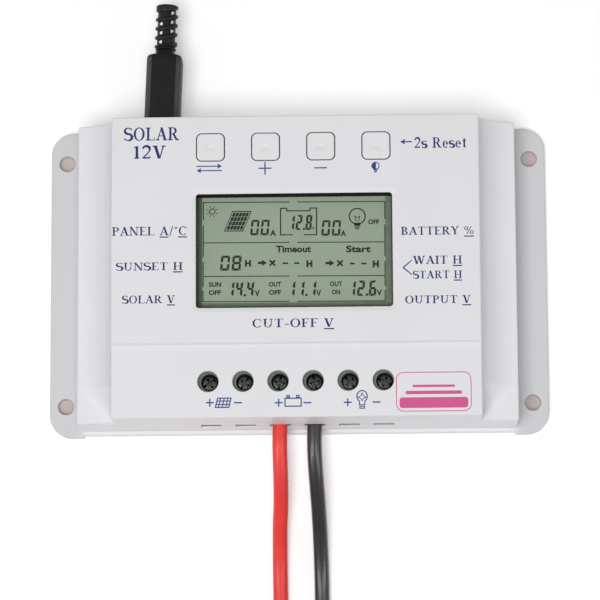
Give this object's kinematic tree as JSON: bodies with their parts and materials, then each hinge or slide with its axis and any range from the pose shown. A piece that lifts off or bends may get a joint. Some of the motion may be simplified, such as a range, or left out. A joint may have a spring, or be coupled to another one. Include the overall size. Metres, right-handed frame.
{
  "type": "solar charge controller",
  "caption": "Flanged wall-mount box with a segment display, push keys, screw clamp terminals, a plug-in probe and a pair of coiled battery leads.",
  "frame": {"origin": "centre of the four wall holes, on the back face", "axes": "+X along the case's length, +Y across it towards the probe socket, +Z out of the wall through the display"},
  "size_m": [0.1486, 0.2654, 0.0325],
  "materials": {
    "case_plastic": "fine satin ABS",
    "key_plastic": "satin ABS",
    "plated_steel": "zinc plated",
    "circuit_board": "solder mask",
    "aluminium": "extruded",
    "component_black": "moulded epoxy",
    "capacitor_sleeve": "sleeve",
    "fuse_plastic": "translucent",
    "terminal_green": "moulded polyamide",
    "tinned_brass": "tinned",
    "lcd_glass": "semi-gloss reflective display",
    "lcd_frame_plastic": "moulded",
    "foam": "closed-cell foam",
    "backlight_diffuser": "diffuser",
    "plug_plastic": "satin PVC",
    "copper": "bare strands",
    "red_insulation": "PVC",
    "black_insulation": "PVC"
  },
  "bodies": {
    "case": {"base_tray": "case_plastic", "top_cover": "case_plastic", "case_screws": "plated_steel", "main_board": "circuit_board", "board_screws": "plated_steel", "heat_sink": "aluminium", "power_transistors": "component_black", "capacitors": "capacitor_sleeve", "controller_chip": "component_black", "fuse_holder": "component_black", "blade_fuse": "fuse_plastic", "pv_terminal_block": "terminal_green", "battery_terminal_block": "terminal_green", "load_terminal_block": "terminal_green", "contact_tongues": "tinned_brass", "jack_socket": "component_black", "display_board": "circuit_board", "display_screws": "plated_steel", "board_link": "component_black", "tact_switches": "component_black", "lcd_glass": "lcd_glass", "lcd_gasket": "foam", "lcd_frame": "lcd_frame_plastic", "backlight": "backlight_diffuser", "bare_ends": "copper", "red_lead": "red_insulation", "red_coil": "red_insulation", "red_ring_terminal": "red_insulation", "black_lead": "black_insulation", "black_coil": "black_insulation", "black_ring_terminal": "black_insulation", "coil_ties": "black_insulation"},
    "key_swap_body": {"key_swap": "key_plastic", "plunger_swap": "component_black"},
    "key_plus_body": {"key_plus": "key_plastic", "plunger_plus": "component_black"},
    "key_minus_body": {"key_minus": "key_plastic", "plunger_minus": "component_black"},
    "key_lamp_body": {"key_lamp": "key_plastic", "plunger_lamp": "component_black"},
    "probe_plug": {"plug_shell": "plug_plastic", "plug_strain_relief": "plug_plastic", "plug_pin": "plated_steel", "thermistor_bead": "plug_plastic"},
    "pv_plus_screw_body": {"pv_plus_screw": "plated_steel"},
    "pv_plus_cage_body": {"pv_plus_cage": "plated_steel"},
    "pv_minus_screw_body": {"pv_minus_screw": "plated_steel"},
    "pv_minus_cage_body": {"pv_minus_cage": "plated_steel"},
    "battery_plus_screw_body": {"battery_plus_screw": "plated_steel"},
    "battery_plus_cage_body": {"battery_plus_cage": "plated_steel"},
    "battery_minus_screw_body": {"battery_minus_screw": "plated_steel"},
    "battery_minus_cage_body": {"battery_minus_cage": "plated_steel"},
    "load_plus_screw_body": {"load_plus_screw": "plated_steel"},
    "load_plus_cage_body": {"load_plus_cage": "plated_steel"},
    "load_minus_screw_body": {"load_minus_screw": "plated_steel"},
    "load_minus_cage_body": {"load_minus_cage": "plated_steel"}
  },
  "joints": [
    {"name": "key_swap_press", "type": "slide", "parent": "case", "child": "key_swap_body", "axis": [0, 0, -1], "range_m": [0, 0.0005], "stiffness_N_per_m": 800},
    {"name": "key_plus_press", "type": "slide", "parent": "case", "child": "key_plus_body", "axis": [0, 0, -1], "range_m": [0, 0.0005], "stiffness_N_per_m": 800},
    {"name": "key_minus_press", "type": "slide", "parent": "case", "child": "key_minus_body", "axis": [0, 0, -1], "range_m": [0, 0.0005], "stiffness_N_per_m": 800},
    {"name": "key_lamp_press", "type": "slide", "parent": "case", "child": "key_lamp_body", "axis": [0, 0, -1], "range_m": [0, 0.0005], "stiffness_N_per_m": 800},
    {"name": "probe_pull", "type": "slide", "parent": "case", "child": "probe_plug", "axis": [0.0419, 0.9991, 0], "range_m": [0, 0.016]},
    {"name": "pv_plus_turn", "type": "hinge", "parent": "case", "child": "pv_plus_screw_body", "pos_m": [-0.0252, -0.0339, 0.0259], "axis": [0, 0, 1], "range_deg": [-1440, 0]},
    {"name": "pv_plus_lift", "type": "slide", "parent": "case", "child": "pv_plus_cage_body", "axis": [0, 0, -1], "range_m": [-0.002, 0]},
    {"name": "pv_minus_turn", "type": "hinge", "parent": "case", "child": "pv_minus_screw_body", "pos_m": [-0.01504, -0.0339, 0.0259], "axis": [0, 0, 1], "range_deg": [-1440, 0]},
    {"name": "pv_minus_lift", "type": "slide", "parent": "case", "child": "pv_minus_cage_body", "axis": [0, 0, -1], "range_m": [-0.002, 0]},
    {"name": "battery_plus_turn", "type": "hinge", "parent": "case", "child": "battery_plus_screw_body", "pos_m": [-0.00488, -0.0339, 0.0259], "axis": [0, 0, 1], "range_deg": [0, 1440]},
    {"name": "battery_plus_lift", "type": "slide", "parent": "case", "child": "battery_plus_cage_body", "axis": [0, 0, -1], "range_m": [0, 0.002]},
    {"name": "battery_minus_turn", "type": "hinge", "parent": "case", "child": "battery_minus_screw_body", "pos_m": [0.00528, -0.0339, 0.0259], "axis": [0, 0, 1], "range_deg": [0, 1440]},
    {"name": "battery_minus_lift", "type": "slide", "parent": "case", "child": "battery_minus_cage_body", "axis": [0, 0, -1], "range_m": [0, 0.002]},
    {"name": "load_plus_turn", "type": "hinge", "parent": "case", "child": "load_plus_screw_body", "pos_m": [0.01544, -0.0339, 0.0259], "axis": [0, 0, 1], "range_deg": [-1440, 0]},
    {"name": "load_plus_lift", "type": "slide", "parent": "case", "child": "load_plus_cage_body", "axis": [0, 0, -1], "range_m": [-0.002, 0]},
    {"name": "load_minus_turn", "type": "hinge", "parent": "case", "child": "load_minus_screw_body", "pos_m": [0.0256, -0.0339, 0.0259], "axis": [0, 0, 1], "range_deg": [-1440, 0]},
    {"name": "load_minus_lift", "type": "slide", "parent": "case", "child": "load_minus_cage_body", "axis": [0, 0, -1], "range_m": [-0.002, 0]}
  ],
  "couplings": [
    {"joint": "pv_plus_turn", "follows": "pv_plus_lift", "rad_per_m": 12566},
    {"joint": "pv_minus_turn", "follows": "pv_minus_lift", "rad_per_m": 12566},
    {"joint": "battery_plus_turn", "follows": "battery_plus_lift", "rad_per_m": 12566},
    {"joint": "battery_minus_turn", "follows": "battery_minus_lift", "rad_per_m": 12566},
    {"joint": "load_plus_turn", "follows": "load_plus_lift", "rad_per_m": 12566},
    {"joint": "load_minus_turn", "follows": "load_minus_lift", "rad_per_m": 12566}
  ]
}
